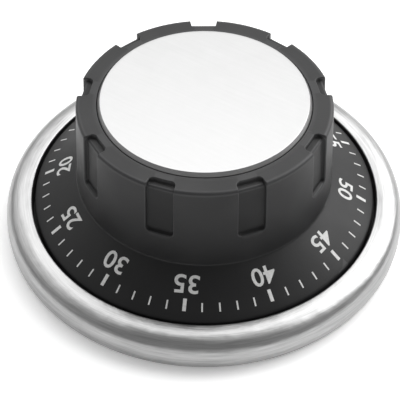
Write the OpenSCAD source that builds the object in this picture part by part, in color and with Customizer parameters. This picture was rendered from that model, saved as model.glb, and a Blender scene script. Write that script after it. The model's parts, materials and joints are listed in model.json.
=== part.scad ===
// Wind-up kitchen timer: a steel ring on a round base, with a dial and a tall knob moulded as one
// piece, which turn together on a clockwork movement with a bell. Units are millimetres, +Z is up,
// the origin is at the centre of the face that stands on the table, and dial zero is at +Y.

/* [Overall] */
// Diameter over the widest part of the steel ring
ring_d = 80; // [70:1:100]
// Height from the table to the top of the knob's cap
timer_h = 31; // [28:0.5:40]

/* [Steel ring and base] */
// Width of the ring from its inner lip to its widest point
ring_w = 5.4; // [4:0.1:8]
// Height of the ring's inner lip
lip_h = 6.8; // [6:0.1:8.2]
// Height of the ring's widest point
ring_belly_h = 2; // [1.5:0.1:3]
// Thickness of the ring's sheet steel
ring_t = 0.7; // [0.5:0.1:1]
// Height of the rubber feet under the back cover
foot_h = 0.4; // [0.3:0.1:0.8]
// Thickness of the back cover
cover_t = 0.8; // [0.6:0.1:1.2]
// Thickness of the base's floor
floor_t = 2; // [1.8:0.1:2.4]

/* [Dial and knob] */
// Gap between the dial's rim and the ring's lip
dial_gap = 0.5; // [0.3:0.05:1]
// Radius of the dial's rounded rim
rim_round = 1; // [0.6:0.1:1.4]
// Height of the knob's foot, where the sloping dial starts
knob_foot_h = 12.2; // [11.5:0.1:14]
// Diameter of the knob at its foot
knob_foot_d = 50.4; // [46:0.2:61]
// Draft of the knob: how much its radius shrinks up to the top edge
knob_draft = 1; // [0:0.1:2]
// Wall of the dial and the knob
shell_t = 1.6; // [1.4:0.1:2]
// Number of finger pockets around the knob
pocket_count = 9; // [6:1:12]
// Width of a finger pocket
pocket_w = 5.3; // [4:0.1:7]
// Depth of a finger pocket in the knob's wall
pocket_depth = 0.85; // [0.5:0.05:1]
// Height of a finger pocket, measured down from the cap's top
pocket_h = 12.1; // [8:0.1:14]
// Corner radius of a finger pocket
pocket_round = 0.8; // [0.4:0.1:1.5]
// Width of the knob's plastic rim around the steel cap
cap_rim_w = 4.05; // [3:0.05:7]

/* [Movement] */
// Thickness of the two movement plates
plate_t = 1; // [0.8:0.1:1.2]
// Radius of the main arbor
arbor_r = 1.6; // [1.3:0.1:2]
// Radius of the thin arbors between the plates
staff_r = 0.6; // [0.5:0.05:0.8]
// Radius of the pivots at the arbors' ends
pivot_r = 0.4; // [0.3:0.05:0.5]
// Radial clearance of a pivot in its hole
pivot_gap = 0.05; // [0.03:0.01:0.08]
// Teeth of the great wheel
great_teeth = 56; // [48:8:64]
// Teeth of the second and the third wheel
train_teeth = 48; // [40:8:56]
// Leaves of each pinion
pinion_leaves = 8; // [8:1:8]
// Teeth of the escape wheel
escape_teeth = 20; // [15:1:24]
// Radial gap between the bell and the posts around it
bell_gap = 0.7; // [0.5:0.1:3]
// Thickness of the bell's steel
bell_t = 0.7; // [0.5:0.1:1]

/* [Hidden] */
$fn = 96;
seat_gap = 0.02;  // radial slack of a piece seated in another piece of the same body
run_gap = 0.4;  // free space between a moving piece and its still neighbour

// Dial scale: one division more than the hour, because the bell rings in the last one
divisions = 61;
division_a = 360 / divisions;
pocket_phase = 90 - division_a * 1.07;  // where the first pocket stands, near dial zero

// Steel ring
ring_r = ring_d / 2;
lip_r = ring_r - ring_w;
lip_land = 0.4;
ring_curve = 2.8;  // 2 makes the ring's section an ellipse, and more makes it squarer
cover_bottom = foot_h;
cover_top = cover_bottom + cover_t;
ring_bottom = cover_bottom + 0.1;
floor_top = cover_top + floor_t;
lip_skirt = 2.4;  // how far the ring's inner edge reaches down behind the dial's rim
lip_inside_h = lip_h - lip_skirt;
base_wall_in_r = lip_r + ring_t;
cover_r = ring_r - 3.4;
foot_pad_r = 3;
foot_sunk = 0.4;  // how deep a foot sits in the back cover

// Dial and knob, from the rim inwards and upwards
dial_r = lip_r - dial_gap;
dial_rim_h = lip_h - 0.09;  // height of the cone where the rounded rim starts
dial_bottom = floor_top + 1.4;
foot_r = knob_foot_d / 2;
top_r = foot_r - knob_draft;
cap_top = timer_h;
cap_r = top_r - cap_rim_w;
cap_h = 1;
cap_seat = cap_top - cap_h;
cap_sheet = 0.5;
cap_bevel = 0.5;
cap_gap = 0.13;  // radial gap around the cap
top_ring_in_h = cap_top - 0.7;  // the knob's plastic rim slopes from here ...
top_edge_h = cap_top - 1.2;  // ... down to here
edge_round = 0.45;
foot_fillet = 0.6;
roof_t = 1.8;
top_under = cap_seat - roof_t;
cavity_r = top_r - pocket_depth - shell_t + 0.2;
pocket_floor_r = top_r - pocket_depth;
pocket_top_in_r = cap_r + 1.85;
pocket_top_floor = top_edge_h - 0.35;
pocket_bottom = cap_top - pocket_h;

// Movement: everything between the plates is set out from the room inside the knob
move_r = cavity_r - 1.2;
plate_low = floor_top + 5.4;
plate_low_top = plate_low + plate_t;
plate_high_top = top_under - 3.2;
plate_high = plate_high_top - plate_t;
gap_h = plate_high - plate_low_top;
end_shake = 0.15;
level = gap_h / 14.4;  // height of one working level between the plates
wheel_t = 0.7 * level;
air = 0.1;  // thin free space between parts that pass or face each other
function z_at(n) = plate_low_top + n * level;
spring_z = z_at(0.6);
spring_h = 4.6 * level;
great_z = z_at(5.8);
ratchet_z = great_z + wheel_t + air / 2;
second_z = z_at(7.8);
cam_z = z_at(9.2);
third_z = z_at(9.4);
escape_z = z_at(10.7);
pallet_z = escape_z + wheel_t + 0.4 * level;
pallet_t = 0.4 * level;
balance_z = z_at(13.2);
strike_z = z_at(0.7);

post_r = 1.9;
post_count = 3;
post_ring_r = foot_r - 2.6;
screw_r = 1;
screw_head_r = 2;
screw_head_h = 1;
slot_w = 0.5;
slot_depth = 0.5;
bell_boss_r = 3;
bell_floor = floor_top + 0.4;
bell_r = post_ring_r - post_r - bell_gap;
bell_rim = plate_low - run_gap;
pillar_r = 1.5;
pillar_ring_r = move_r * 0.875;
pillar_angles = [122, 225, 335];
nut_r = 2;
nut_h = 0.9;
thread_r = 0.8;  // thread of the pillars
stud_r = 0.7;  // studs that the hammer and the release lever turn on
rivet_r = 0.4;  // small studs riveted to the great wheel
bushing_r = 2.8;
lever_hub_r = 1.5;
wheel_hub_r = 1.8;
shoulder = 0.4;  // how much thinner the main arbor is in the bottom plate
hub_r = 4.5;
hub_low = plate_high_top + nut_h;
hub_screw_seat = cap_seat - 1.1;
stop_r = move_r * 0.77;
stop_pin_r = 0.4;
stop_rib_t = 0.7;
stop_rib_w = 2;
stop_a = 300;

// Gear train: centre distances come from the room, and the modules from the distances
main_dist = 0.615 * move_r;
train_dist = 0.43 * move_r;
escape_dist = 0.606 * move_r;
great_module = 2 * main_dist / (great_teeth + pinion_leaves);
train_module = 2 * train_dist / (train_teeth + pinion_leaves);
function between(ra, rb, d) = acos((ra * ra + rb * rb - d * d) / (2 * ra * rb));
function polar(r, a) = [r * cos(a), r * sin(a)];
function bearing(a, b) = atan2(b[1] - a[1], b[0] - a[0]);
pallet_dist = 0.318 * move_r;
balance_dist = 0.366 * move_r;
second_a = 20;
third_a = second_a + between(main_dist, main_dist, train_dist);
escape_a = third_a + between(main_dist, escape_dist, train_dist);
pallet_a = escape_a + between(escape_dist, escape_dist, pallet_dist);
balance_a = pallet_a + between(escape_dist, main_dist, balance_dist);
second_at = polar(main_dist, second_a);
third_at = polar(main_dist, third_a);
escape_at = polar(escape_dist, escape_a);
pallet_at = polar(escape_dist, pallet_a);
balance_at = polar(main_dist, balance_a);
escape_r = 0.24 * move_r;
balance_r = 0.31 * move_r;
staffs = [second_at, third_at, escape_at, pallet_at, balance_at];

hammer_at = polar(0.855 * move_r, third_a + 23);
hammer_reach = 0.32 * move_r;
hammer_a = 190;
head_r = 1.2;
head_h = 2.2;
head_neck_r = 0.45;
head_at = hammer_at + polar(hammer_reach, hammer_a);
lever_at = polar(0.635 * move_r, 201);
lever_nose_a = 268;
lever_tail_at = polar(0.85 * move_r, 160);
cam_r = 0.21 * move_r;
ratchet_r = 0.24 * move_r;
click_at = polar(0.37 * move_r, 200);
click_tip = polar(ratchet_r + 0.35, 236);
click_w = 0.9;
strike_r = 0.14 * move_r;

// ---- shared shapes ----

module disc(r, z, h) {
  translate([0, 0, z]) cylinder(h = h, r = r);
}

module tube(r, bore, z, h) {
  difference() {
    disc(r, z, h);
    disc(bore, z - 1, h + 2);
  }
}

module slab(z, h) {
  translate([0, 0, z]) linear_extrude(height = h) children();
}

// A flat bar with one round end at each point
module bar(from, to, w) {
  length = norm(to - from);
  translate(from) rotate(bearing(from, to)) translate([0, -w / 2]) square([length, w]);
  translate(from) circle(r = w / 2, $fn = 32);
  translate(to) circle(r = w / 2, $fn = 32);
}

// Outline of a toothed wheel: each tooth is root, flank, tip, tip, flank, root
function teeth_outline(count, module_mm, tip, root, shares) = [
  for (i = [0 : count - 1], k = [0 : 5])
    let (side = k < 3 ? -1 : 1, j = k < 3 ? k : 5 - k)
    let (r = module_mm * (count / 2 + [-root, 0, tip][j]))
    polar(r, (i + side * shares[j] / 2) * 360 / count)
];
wheel_shares = [0.5, 0.4, 0.18];
leaf_shares = [0.38, 0.38, 0.14];

module wheel_outline(count, module_mm) {
  polygon(teeth_outline(count, module_mm, 0.85, 1.25, wheel_shares));
}

module pinion_outline(module_mm) {
  polygon(teeth_outline(pinion_leaves, module_mm, 0.7, 1.3, leaf_shares));
}

// A wheel with crossings, bored for its arbor
module train_wheel(count, module_mm, z, bore, hub, spokes) {
  rim = module_mm * (count / 2 - 1.25) - 0.9;
  slab(z, wheel_t) difference() {
    wheel_outline(count, module_mm);
    circle(r = bore);
    difference() {
      circle(r = rim);
      circle(r = hub);
      for (i = [0 : spokes - 1])
        rotate(i * 360 / spokes) translate([0, -0.5]) square([rim + 1, 1]);
    }
  }
}

// A pinion on its staff, with a pivot in each plate
module pinion_staff(leaf_z, leaf_h, module_mm) {
  slab(leaf_z, leaf_h) pinion_outline(module_mm);
  staff();
}

module staff() {
  low = plate_low_top + end_shake;
  high = plate_high - end_shake;
  disc(staff_r, low, high - low);
  disc(pivot_r, plate_low + end_shake, plate_high_top - plate_low - 2 * end_shake);
}

// A ratchet-shaped wheel: each tooth rises and then drops straight back
module saw_outline(count, r, depth) {
  polygon([for (i = [0 : count - 1], k = [0, 1])
    polar(k == 0 ? r - depth : r, (i + k * 0.9) * 360 / count)]);
}

// ---- steel ring and base ----

// Outer line of the ring from its flat land over the rounded top to the lower edge, moved in by t
function ring_line(t) = concat(
  [for (a = [0 : 6 : 90]) [lip_r + lip_land + (ring_w - lip_land - t) * pow(sin(a), 2 / ring_curve),
    ring_belly_h + (lip_h - ring_belly_h - t) * pow(cos(a), 2 / ring_curve)]],
  [[ring_r - t - 0.3, ring_bottom]]
);

module bezel_ring() {
  inner = ring_line(ring_t);
  color("gainsboro") rotate_extrude($fn = 180) polygon(concat(
    [[lip_r, lip_inside_h], [lip_r, lip_h - lip_land], [lip_r + 0.12, lip_h - 0.12]],
    ring_line(0),
    [for (i = [len(inner) - 1 : -1 : 0]) i == 0 ? [lip_r + ring_t, inner[0][1]] : inner[i]],
    [[lip_r + ring_t, lip_inside_h]]
  ));
}

module base_housing() {
  side = ring_line(ring_t + 0.1);
  wall_top = 4;  // point of that line where the base's wall ends
  color("dimgray") difference() {
    union() {
      rotate_extrude($fn = 180) polygon(concat(
        [[0, cover_top], [cover_r + 0.1, cover_top], [cover_r + 0.1, ring_bottom]],
        [[side[len(side) - 1][0], ring_bottom]],
        [for (i = [len(side) - 1 : -1 : wall_top]) side[i]],
        [[base_wall_in_r + 0.1, side[wall_top][1]]],
        [[base_wall_in_r + 0.1, lip_inside_h - 0.1], [lip_r, lip_inside_h - 0.1]],
        [[lip_r, floor_top], [0, floor_top]]
      ));
      disc(bell_boss_r, floor_top - 1, bell_floor - floor_top + 1);
      posts() disc(post_r, floor_top - 1, plate_low - floor_top + 1);
    }
    posts() {
      disc(screw_r + seat_gap, cover_top - 1, plate_low);
      disc(screw_head_r + seat_gap, cover_top - 1, 1 + screw_head_h + 0.1);
    }
    magnet_band(0);
    disc(screw_r, cover_top + 0.4, bell_floor);
  }
}

module posts() {
  for (i = [0 : post_count - 1]) rotate(30 + i * 360 / post_count) translate([post_ring_r, 0, 0])
    children();
}

module magnet_band(slack) {
  inner = post_ring_r + screw_head_r + 0.8;
  tube(lip_r - 1.5 - slack, inner + slack, cover_top - (slack > 0 ? 0 : 1), slack > 0 ? 1.3 : 2.3);
}

module magnet_ring() {
  color("darkslategray") magnet_band(seat_gap);
}

module back_cover() {
  color("dimgray") difference() {
    disc(cover_r, cover_bottom, cover_t);
    feet() disc(foot_pad_r + seat_gap, cover_bottom - 1, foot_sunk + 1);
  }
}

module feet() {
  for (i = [0 : 2]) rotate(90 + i * 120) translate([cover_r - 2 * foot_pad_r, 0, 0]) children();
}

module rubber_feet() {
  color("black") feet() disc(foot_pad_r, 0, cover_bottom + foot_sunk);
}

// Painted triangle on the ring that points at dial zero
module index_mark() {
  paint_t = 0.06;
  last = 4;  // point of the ring's line just past the mark
  color("black") intersection() {
    rotate_extrude($fn = 180) polygon(concat(
      [for (i = [0 : last]) ring_line(-paint_t)[i]],
      [for (i = [last : -1 : 0]) ring_line(0)[i]]
    ));
    slab(lip_h - 2, 4) polygon([[0, lip_r + 0.5], [0.9, lip_r + 2.3], [-0.9, lip_r + 2.3]]);
  }
}

module movement_screws() {
  color("silver") posts() {
    disc(screw_head_r, cover_top + air, screw_head_h - air);
    disc(screw_r, cover_top + 0.5, plate_low_top - cover_top - 0.7);
  }
}

// Slot for a screwdriver in a head whose top is at a height
module screw_slot(top) {
  slab(top - slot_depth, 2) square([3 * screw_head_r, slot_w], center = true);
}

// ---- bell ----

module bell() {
  dish_r = bell_r * 0.72;
  bend = bell_r - dish_r;
  rise = bell_rim - bell_floor;
  color("lightgray") rotate_extrude() polygon(concat(
    [[screw_r + seat_gap, bell_floor], [dish_r, bell_floor]],
    [for (a = [15 : 15 : 90]) [dish_r + bend * sin(a), bell_floor + rise * 0.7 * (1 - cos(a))]],
    [[bell_r, bell_rim], [bell_r - bell_t, bell_rim]],
    [for (a = [90 : -15 : 15]) [dish_r + (bend - bell_t) * sin(a),
      bell_floor + bell_t + (rise * 0.7 - bell_t) * (1 - cos(a))]],
    [[dish_r, bell_floor + bell_t], [screw_r + seat_gap, bell_floor + bell_t]]
  ));
}

module bell_screw() {
  top = bell_floor + bell_t;
  color("silver") difference() {
    union() {
      disc(screw_head_r, top, screw_head_h);
      disc(screw_r - seat_gap, cover_top + 0.5, top - cover_top - 0.4);
    }
    screw_slot(top + screw_head_h);
  }
}

// ---- movement frame ----

module plate_outline() {
  circle(r = move_r);
}

module staff_holes() {
  for (p = staffs) translate(p) circle(r = pivot_r + pivot_gap);
}

module pillars() {
  for (a = pillar_angles) rotate(a) translate([pillar_ring_r, 0, 0]) children();
}

module bottom_plate() {
  color("goldenrod") slab(plate_low, plate_t) difference() {
    union() {
      plate_outline();
      posts() circle(r = post_r);
      posts() translate([-4, -post_r]) square([4, 2 * post_r]);
    }
    circle(r = arbor_r - shoulder + pivot_gap);
    staff_holes();
    posts() circle(r = screw_r + seat_gap);
    pillars() circle(r = thread_r + seat_gap);
    hammer_slot();
  }
}

// Curved slot that the hammer's neck swings in
module hammer_slot() {
  for (a = [-10 : 2 : 10])
    translate(hammer_at + polar(hammer_reach, hammer_a + a)) circle(r = 1.1, $fn = 32);
}

module top_plate() {
  color("goldenrod") slab(plate_high, plate_t) difference() {
    plate_outline();
    circle(r = bushing_r + seat_gap);
    staff_holes();
    pillars() circle(r = thread_r + seat_gap);
    rotate(stop_a) translate([stop_r, 0]) circle(r = stop_pin_r + seat_gap);
  }
}

module plate_pillars() {
  color("silver") pillars() {
    disc(pillar_r, plate_low_top, gap_h);
    disc(thread_r, plate_low, plate_high_top - plate_low + nut_h - air);
  }
}

module plate_nuts() {
  color("silver") pillars() difference() {
    translate([0, 0, plate_high_top]) cylinder(h = nut_h, r = nut_r, $fn = 6);
    disc(thread_r + seat_gap, plate_high_top - 1, nut_h + 2);
  }
}

module main_bushing() {
  color("gold") tube(bushing_r, arbor_r + pivot_gap, plate_high, plate_t + 0.3);
}

module stop_pin() {
  color("silver") rotate(stop_a) translate([stop_r, 0, 0])
    disc(stop_pin_r, plate_high, top_under - plate_high - run_gap);
}

// ---- mainspring and winding parts ----

spring_strip = 0.3;
spring_in_r = 2.4;
spring_out_r = 0.44 * move_r;
spring_turns = 7;
spring_post_r = 0.8;
spring_end_a = 285;
spring_post_at = polar(spring_out_r + spring_post_r + seat_gap, spring_end_a);
function coil_r(a) = spring_in_r + (spring_out_r - spring_in_r) * a / (360 * spring_turns);

module mainspring() {
  steps = [0 : 15 : 360 * spring_turns];
  last = 360 * spring_turns;
  shift = spring_end_a - last;
  color("steelblue") slab(spring_z, spring_h) union() {
    polygon(concat(
      [for (a = steps) polar(coil_r(a), a + shift)],
      [for (a = [last : -15 : 0]) polar(coil_r(a) - spring_strip, a + shift)]
    ));
    difference() {
      circle(r = spring_in_r);
      circle(r = arbor_r + seat_gap);
    }
    translate(spring_post_at) difference() {
      circle(r = spring_post_r + 0.4);
      circle(r = spring_post_r + seat_gap);
    }
  }
}

module spring_post() {
  color("silver") translate(spring_post_at)
    disc(spring_post_r, plate_low_top, spring_z + spring_h - plate_low_top);
}

module main_arbor() {
  low = plate_low_top + end_shake;
  color("silver") difference() {
    union() {
      disc(arbor_r, low, hub_screw_seat - low);
      disc(arbor_r - shoulder, plate_low + end_shake, plate_t + 1);
    }
    disc(screw_r + seat_gap, hub_screw_seat - 3.5, 5);
    arbor_flat(0);
  }
}

// The flat that keeps the hub from slipping on the arbor
module arbor_flat(slack) {
  translate([arbor_r * 0.8 + slack, -5, hub_low]) cube([5, 10, 10]);
}

module great_wheel() {
  color("goldenrod") rotate(second_a)
    train_wheel(great_teeth, great_module, great_z, arbor_r + seat_gap, 0.42 * move_r, 5);
}

module ratchet_wheel() {
  color("silver") slab(ratchet_z, wheel_t) difference() {
    saw_outline(24, ratchet_r, 0.5);
    circle(r = arbor_r + seat_gap);
  }
}

// Cam with one notch, where the release lever's nose drops in at zero
module release_cam() {
  color("silver") slab(cam_z, wheel_t) difference() {
    circle(r = cam_r);
    circle(r = arbor_r + seat_gap);
    rotate(lever_nose_a) translate([cam_r - 0.8, -0.8]) square([3, 1.6]);
  }
}

module click_stud() {
  color("silver") translate(click_at) disc(rivet_r, great_z + wheel_t, wheel_t + 0.15);
}

module click() {
  color("steelblue") slab(ratchet_z + air / 2, wheel_t - air) difference() {
    bar(click_at, click_tip, click_w);
    translate(click_at) circle(r = rivet_r + pivot_gap);
    circle(r = ratchet_r + air);
  }
}

// Leaf that presses the click into the ratchet, riveted to the great wheel
module click_spring() {
  middle = (click_at + click_tip) / 2;
  contact = middle * (1 + (click_w / 2 + 0.3) / norm(middle));
  anchor = polar(0.38 * move_r, 252);
  color("steelblue") {
    slab(ratchet_z + air / 2, wheel_t - air) bar(anchor, contact, 0.3);
    translate(anchor) disc(rivet_r, great_z + wheel_t, wheel_t);
  }
}

// ---- going train ----

module second_pinion() {
  color("silver") translate(second_at) rotate(second_a + 180 + 180 / pinion_leaves)
    pinion_staff(great_z - 0.2, wheel_t + 0.4, great_module);
}

module second_wheel() {
  color("goldenrod") translate(second_at) rotate(bearing(second_at, third_at))
    train_wheel(train_teeth, train_module, second_z, staff_r + seat_gap, wheel_hub_r, 4);
}

module third_pinion() {
  color("silver") translate(third_at) rotate(bearing(third_at, second_at) + 180 / pinion_leaves)
    pinion_staff(second_z - 0.2, wheel_t + 0.4, train_module);
}

module third_wheel() {
  color("goldenrod") translate(third_at) rotate(bearing(third_at, escape_at))
    train_wheel(train_teeth, train_module, third_z, staff_r + seat_gap, wheel_hub_r, 4);
}

// Star wheel that rocks the hammer when the lever lets the train run free
module strike_wheel() {
  color("silver") translate(third_at) slab(strike_z, wheel_t) difference() {
    saw_outline(10, strike_r, 0.7);
    circle(r = staff_r + seat_gap);
  }
}

module escape_pinion() {
  color("silver") translate(escape_at) rotate(bearing(escape_at, third_at) + 180 / pinion_leaves)
    pinion_staff(third_z - 0.2, wheel_t + 0.4, train_module);
}

module escape_wheel() {
  color("goldenrod") translate(escape_at) slab(escape_z, wheel_t) difference() {
    saw_outline(escape_teeth, escape_r, 0.9);
    circle(r = staff_r + seat_gap);
    for (i = [0 : 3]) rotate(i * 90) translate([escape_r * 0.46, 0]) circle(r = escape_r * 0.2);
  }
}

// ---- escapement ----

module pallet_arbor() {
  color("silver") translate(pallet_at) staff();
}

pallet_pin_r = 0.25;
impulse_pin_r = 0.3;
function pallet_pin_at(side) = escape_at
  + polar(escape_r - 0.2, bearing(escape_at, pallet_at) + side * 360 * 2.5 / escape_teeth);

module pallet_lever() {
  fork = pallet_at + (balance_at - pallet_at) * 0.52;
  color("silver") slab(pallet_z, pallet_t) difference() {
    union() {
      for (side = [-1, 1]) bar(pallet_at, pallet_pin_at(side), 1);
      bar(pallet_at, fork, 1.3);
      translate(pallet_at) circle(r = 1.4);
    }
    translate(pallet_at) circle(r = staff_r + seat_gap);
    for (side = [-1, 1]) translate(pallet_pin_at(side)) circle(r = pallet_pin_r + seat_gap, $fn = 24);
  }
}

// Steel pins that the escape wheel's teeth lock on, ending just above the wheel
module pallet_pins() {
  low = escape_z + wheel_t + air;
  color("silver") for (side = [-1, 1]) translate(pallet_pin_at(side))
    disc(pallet_pin_r, low, pallet_z + pallet_t - low);
}

module balance_staff() {
  color("silver") translate(balance_at) staff();
}

module balance_wheel() {
  color("gold") translate(balance_at) slab(balance_z, wheel_t) difference() {
    circle(r = balance_r);
    circle(r = staff_r + seat_gap);
    difference() {
      circle(r = balance_r - 1);
      circle(r = 1.6);
      rotate(bearing(balance_at, pallet_at) + 90) square([2 * balance_r, 1.2], center = true);
    }
  }
}

// Pin under the balance that the pallet lever's fork drives
module impulse_pin() {
  at = balance_at + polar(balance_r - 0.5, bearing(balance_at, pallet_at) + 90);
  low = pallet_z + pallet_t + air;
  color("silver") translate(at) disc(impulse_pin_r, low, balance_z - low);
}

hair_in_r = staff_r + 0.5;
hair_out_r = balance_r * 0.62;
hair_turns = 5;
hair_t = 0.35 * level;
hair_z = balance_z - 0.2 * level - hair_t;
hair_strip = 0.12;
hair_end_a = balance_a + 30;
function hair_r(a) = hair_in_r + (hair_out_r - hair_in_r) * a / (360 * hair_turns);

module hairspring() {
  last = 360 * hair_turns;
  shift = hair_end_a - last;
  color("steelblue") translate(balance_at) slab(hair_z, hair_t) union() {
    polygon(concat(
      [for (a = [0 : 20 : last]) polar(hair_r(a), a + shift)],
      [for (a = [last : -20 : 0]) polar(hair_r(a) - hair_strip, a + shift)]
    ));
    difference() {
      circle(r = hair_in_r);
      circle(r = staff_r + seat_gap);
    }
  }
}

module hairspring_stud() {
  color("silver") translate(balance_at + polar(hair_out_r + 0.35, hair_end_a))
    disc(0.35, plate_low_top, hair_z + hair_t - plate_low_top);
}

// ---- hammer and release lever ----

module hammer_stud() {
  top = strike_z + wheel_t + 0.3;
  color("silver") translate(hammer_at) disc(stud_r, plate_low_top, top - plate_low_top);
}

module hammer_lever() {
  tail_reach = norm(hammer_at - third_at) - strike_r - 0.7;
  tail = hammer_at + polar(tail_reach, bearing(hammer_at, third_at));
  color("silver") slab(strike_z, wheel_t) difference() {
    union() {
      bar(hammer_at, head_at, 1.2);
      bar(hammer_at, tail, 0.9);
      translate(hammer_at) circle(r = lever_hub_r);
    }
    translate(hammer_at) circle(r = stud_r + pivot_gap);
    translate(head_at) circle(r = head_neck_r + seat_gap);
  }
}

module hammer_head() {
  color("gold") translate(head_at) {
    disc(head_r, bell_rim - head_h - 0.2, head_h);
    disc(head_neck_r, bell_rim - 0.3, strike_z + wheel_t + air - bell_rim + 0.3);
  }
}

module lever_stud() {
  top = cam_z + wheel_t + 0.3;
  color("silver") translate(lever_at) disc(stud_r, plate_low_top, top - plate_low_top);
}

module release_lever() {
  nose = polar(cam_r + 0.6, lever_nose_a);
  color("silver") slab(cam_z, wheel_t) difference() {
    union() {
      bar(lever_at, nose, 1);
      bar(lever_at, lever_tail_at, 1);
      translate(lever_at) circle(r = lever_hub_r);
    }
    translate(lever_at) circle(r = stud_r + pivot_gap);
  }
}

// ---- dial, knob and cap ----

cone_slope = (knob_foot_h - dial_rim_h) / (dial_r - 0.3 - foot_r);
function cone_h(r) = knob_foot_h - (r - foot_r) * cone_slope;

// Outer line of dial and knob, from the dial's lower rim up to the cap's seat
function dial_line() = concat(
  [[dial_r, dial_bottom]],
  [for (a = [0 : 15 : 60]) [dial_r - rim_round * (1 - cos(a)),
    cone_h(dial_r - rim_round / 2) - rim_round * (sin(60) - sin(a))]],
  [for (a = [60 : -15 : 0]) [foot_r + foot_fillet * (1 - cos(a)),
    knob_foot_h + foot_fillet * (1 - sin(a))]],
  [for (a = [0 : 15 : 75]) [top_r - edge_round * (1 - cos(a)), top_edge_h - edge_round * (1 - sin(a))]],
  [[cap_r + cap_gap, top_ring_in_h]]
);

module dial_shell() {
  under = shell_t / cos(atan(cone_slope));
  rotate_extrude($fn = 180) polygon(concat(
    dial_line(),
    [[cap_r + cap_gap, cap_seat], [0, cap_seat], [0, top_under], [cavity_r - 1, top_under]],
    [[cavity_r, top_under - 1], [cavity_r, cone_h(cavity_r) - under]],
    [[dial_r - shell_t, cone_h(dial_r - shell_t) - under], [dial_r - shell_t, dial_bottom]]
  ));
}

module pocket_cutter() {
  // recess in the knob's wall, with round lower corners
  translate([pocket_floor_r, 0, 0]) rotate([90, 0, 90]) linear_extrude(height = 5) {
    translate([-pocket_w / 2, pocket_bottom + pocket_round])
      square([pocket_w, cap_top - pocket_bottom]);
    translate([-pocket_w / 2 + pocket_round, pocket_bottom])
      square([pocket_w - 2 * pocket_round, pocket_round + 1]);
    for (x = [-1, 1]) translate([x * (pocket_w / 2 - pocket_round), pocket_bottom + pocket_round])
      circle(r = pocket_round, $fn = 32);
  }
  // recess in the top face
  translate([0, 0, pocket_top_floor]) linear_extrude(height = 5) {
    translate([pocket_top_in_r + pocket_round, -pocket_w / 2]) square([8, pocket_w]);
    translate([pocket_top_in_r, -pocket_w / 2 + pocket_round])
      square([8, pocket_w - 2 * pocket_round]);
    for (y = [-1, 1]) translate([pocket_top_in_r + pocket_round, y * (pocket_w / 2 - pocket_round)])
      circle(r = pocket_round, $fn = 32);
  }
}

module dial_knob() {
  color([0.17, 0.17, 0.18]) difference() {
    union() {
      dial_shell();
      disc(hub_r, hub_low, top_under - hub_low + 0.5);
      stop_rib();
    }
    for (i = [0 : pocket_count - 1]) rotate(pocket_phase + i * 360 / pocket_count) pocket_cutter();
    difference() {
      disc(arbor_r + seat_gap, hub_low - 1, hub_screw_seat - hub_low + 1);
      arbor_flat(seat_gap);
    }
    disc(screw_r + 2 * seat_gap, hub_screw_seat - 1, 5);
    disc(screw_head_r + 3 * seat_gap, hub_screw_seat, 5);
  }
}

// Rib under the knob's top that meets the stop pin at both ends of the travel
module stop_rib() {
  low = plate_high_top + nut_h + run_gap;
  rotate(stop_a - division_a / 2) translate([stop_r - stop_rib_w / 2, -stop_rib_t / 2, low])
    cube([stop_rib_w, stop_rib_t, top_under - low + 0.5]);
}

module knob_cap() {
  color("whitesmoke") rotate_extrude($fn = 180) polygon([
    [0, cap_top], [cap_r - cap_bevel, cap_top], [cap_r, top_ring_in_h], [cap_r, cap_seat],
    [cap_r - cap_sheet, cap_seat], [cap_r - cap_sheet, top_ring_in_h - air],
    [cap_r - 2 * cap_sheet, cap_top - cap_sheet], [0, cap_top - cap_sheet]
  ]);
}

module hub_screw() {
  color("silver") difference() {
    union() {
      disc(screw_head_r, hub_screw_seat, screw_head_h - air);
      disc(screw_r, hub_screw_seat - 3.3, 3.4);
    }
    screw_slot(hub_screw_seat + screw_head_h);
  }
}

bezel_ring();
base_housing();
back_cover();
magnet_ring();
rubber_feet();
index_mark();
movement_screws();
bell();
bell_screw();
bottom_plate();
top_plate();
plate_pillars();
plate_nuts();
main_bushing();
stop_pin();
mainspring();
spring_post();
hairspring();
hairspring_stud();
hammer_stud();
lever_stud();
dial_knob();
knob_cap();
hub_screw();
main_arbor();
great_wheel();
ratchet_wheel();
release_cam();
click();
click_stud();
click_spring();
second_pinion();
second_wheel();
third_pinion();
third_wheel();
strike_wheel();
escape_pinion();
escape_wheel();
pallet_arbor();
pallet_lever();
pallet_pins();
balance_staff();
balance_wheel();
impulse_pin();
hammer_lever();
hammer_head();
release_lever();
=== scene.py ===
"""Wind-up kitchen timer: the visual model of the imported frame, laid out as a Blender add-on."""
import json
import math

import bmesh
import bpy
from bpy.props import FloatProperty, FloatVectorProperty, IntProperty, PointerProperty
from mathutils import Matrix, Vector


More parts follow.
